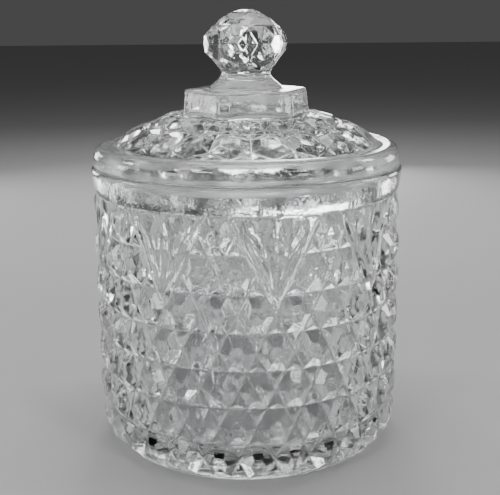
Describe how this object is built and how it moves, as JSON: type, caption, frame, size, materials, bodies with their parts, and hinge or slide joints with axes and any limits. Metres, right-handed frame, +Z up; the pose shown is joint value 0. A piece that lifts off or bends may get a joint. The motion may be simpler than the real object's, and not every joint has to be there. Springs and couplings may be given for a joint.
{
  "type": "powder jar",
  "caption": "Round clear pressed-glass jar with a loose domed lid and faceted knob; rows of hexagonal buttons and fans of flutes under a plain rim.",
  "frame": {"origin": "middle of the foot, on the surface the jar stands on", "axes": "+Z up along the jar's axis; -Y faces the picture's camera and +X is to its right"},
  "size_m": [0.09, 0.0902, 0.1248],
  "materials": {
    "jar_glass": "clear fire-polished pressed glass",
    "lid_glass": "clear fire-polished pressed glass"
  },
  "bodies": {
    "jar": {"jar": "jar_glass"},
    "lid": {"lid": "lid_glass"}
  },
  "joints": [
    {"name": "lid_lift", "type": "slide", "parent": "jar", "child": "lid", "axis": [0, 0, 1], "range_m": [0, 0.06]}
  ]
}
